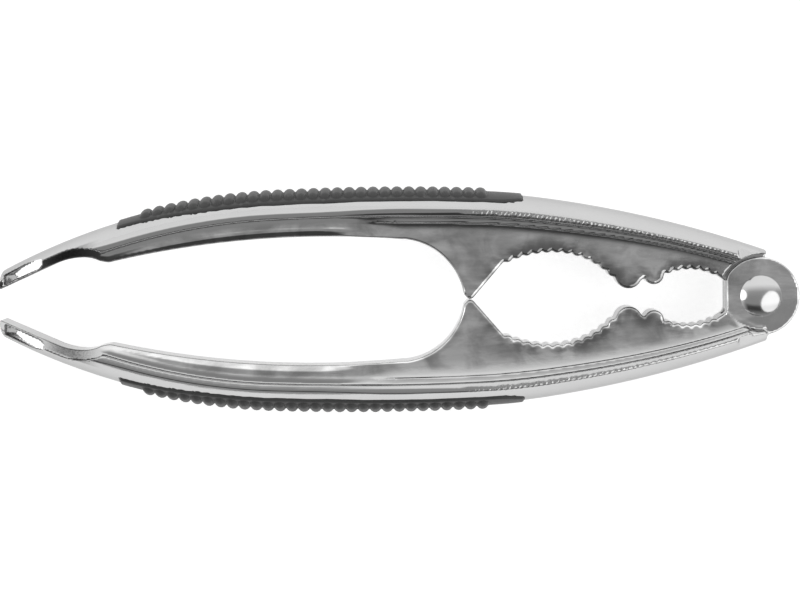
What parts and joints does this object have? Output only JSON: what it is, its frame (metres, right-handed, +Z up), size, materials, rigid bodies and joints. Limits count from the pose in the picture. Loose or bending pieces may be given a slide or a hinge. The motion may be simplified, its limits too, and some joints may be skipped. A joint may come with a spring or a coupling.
{
  "type": "nutcracker",
  "caption": "Plier nutcracker: two chromed arms hinged on a domed rivet, with a large and a small toothed jaw and ribbed rubber grips.",
  "frame": {"origin": "middle of the closed tool's length and width, on the surface that it lies on", "axes": "+X along the handles towards the hinge, +Y from the lower arm to the upper arm, +Z up along the hinge axis"},
  "size_m": [0.19, 0.054, 0.018],
  "materials": {
    "chrome_arm": "chrome plate over a die casting, bright on the crown and faintly grained on the flat faces",
    "polished_rivet": "polished domed head",
    "grip_rubber": "matt black moulded rubber with a slight sheen"
  },
  "bodies": {
    "lower_half": {"lower_arm": "chrome_arm", "lower_grip": "grip_rubber", "pivot_rivet": "polished_rivet"},
    "upper_half": {"upper_arm": "chrome_arm", "upper_grip": "grip_rubber"}
  },
  "joints": [
    {"name": "hinge", "type": "hinge", "parent": "lower_half", "child": "upper_half", "pos_m": [0.0857, 0, 0.009], "axis": [0, 0, -1], "range_deg": [0, 155]}
  ]
}
